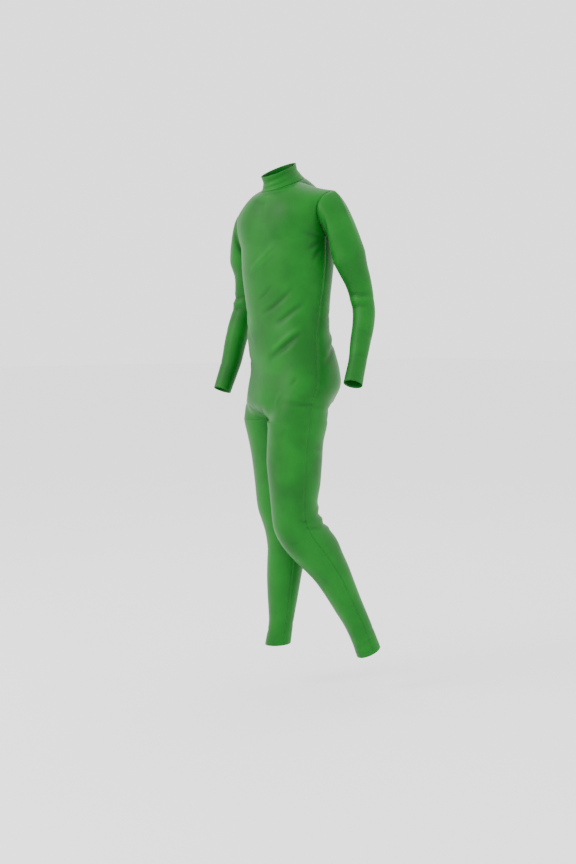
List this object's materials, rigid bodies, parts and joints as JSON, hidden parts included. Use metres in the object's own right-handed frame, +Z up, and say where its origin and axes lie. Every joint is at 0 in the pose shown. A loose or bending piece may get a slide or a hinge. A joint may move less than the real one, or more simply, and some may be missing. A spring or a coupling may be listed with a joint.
{
  "type": "dance unitard",
  "caption": "Green stretch dance unitard with a high collar, long sleeves, ankle-length legs and a back zip, worn in a walking pose.",
  "frame": {"origin": "between the shoulders, 1.47 m above the floor of the wearer, on the axis of the body", "axes": "+Z up towards the collar, -Y towards the front of the chest, +X towards the wearer's left"},
  "size_m": [0.5733, 0.3457, 1.4623],
  "materials": {
    "cloth": "satin",
    "zip_tape": "matte",
    "zip_chain": "satin",
    "zip_metal": "satin"
  },
  "bodies": {
    "garment": {"front": "cloth", "back_left": "cloth", "back_right": "cloth", "sleeve_left": "cloth", "sleeve_right": "cloth", "collar": "cloth", "zip_tape": "zip_tape", "zip_chain": "zip_chain", "zip_slider": "zip_metal"},
    "zip_tab": {"zip_tab": "zip_metal"}
  },
  "joints": [
    {"name": "zip_tab_hinge", "type": "hinge", "parent": "garment", "child": "zip_tab", "pos_m": [-0.00332, 0.01858, 0.09191], "axis": [0.9797, 0.2, 0.0141], "range_deg": [0, 150]}
  ]
}
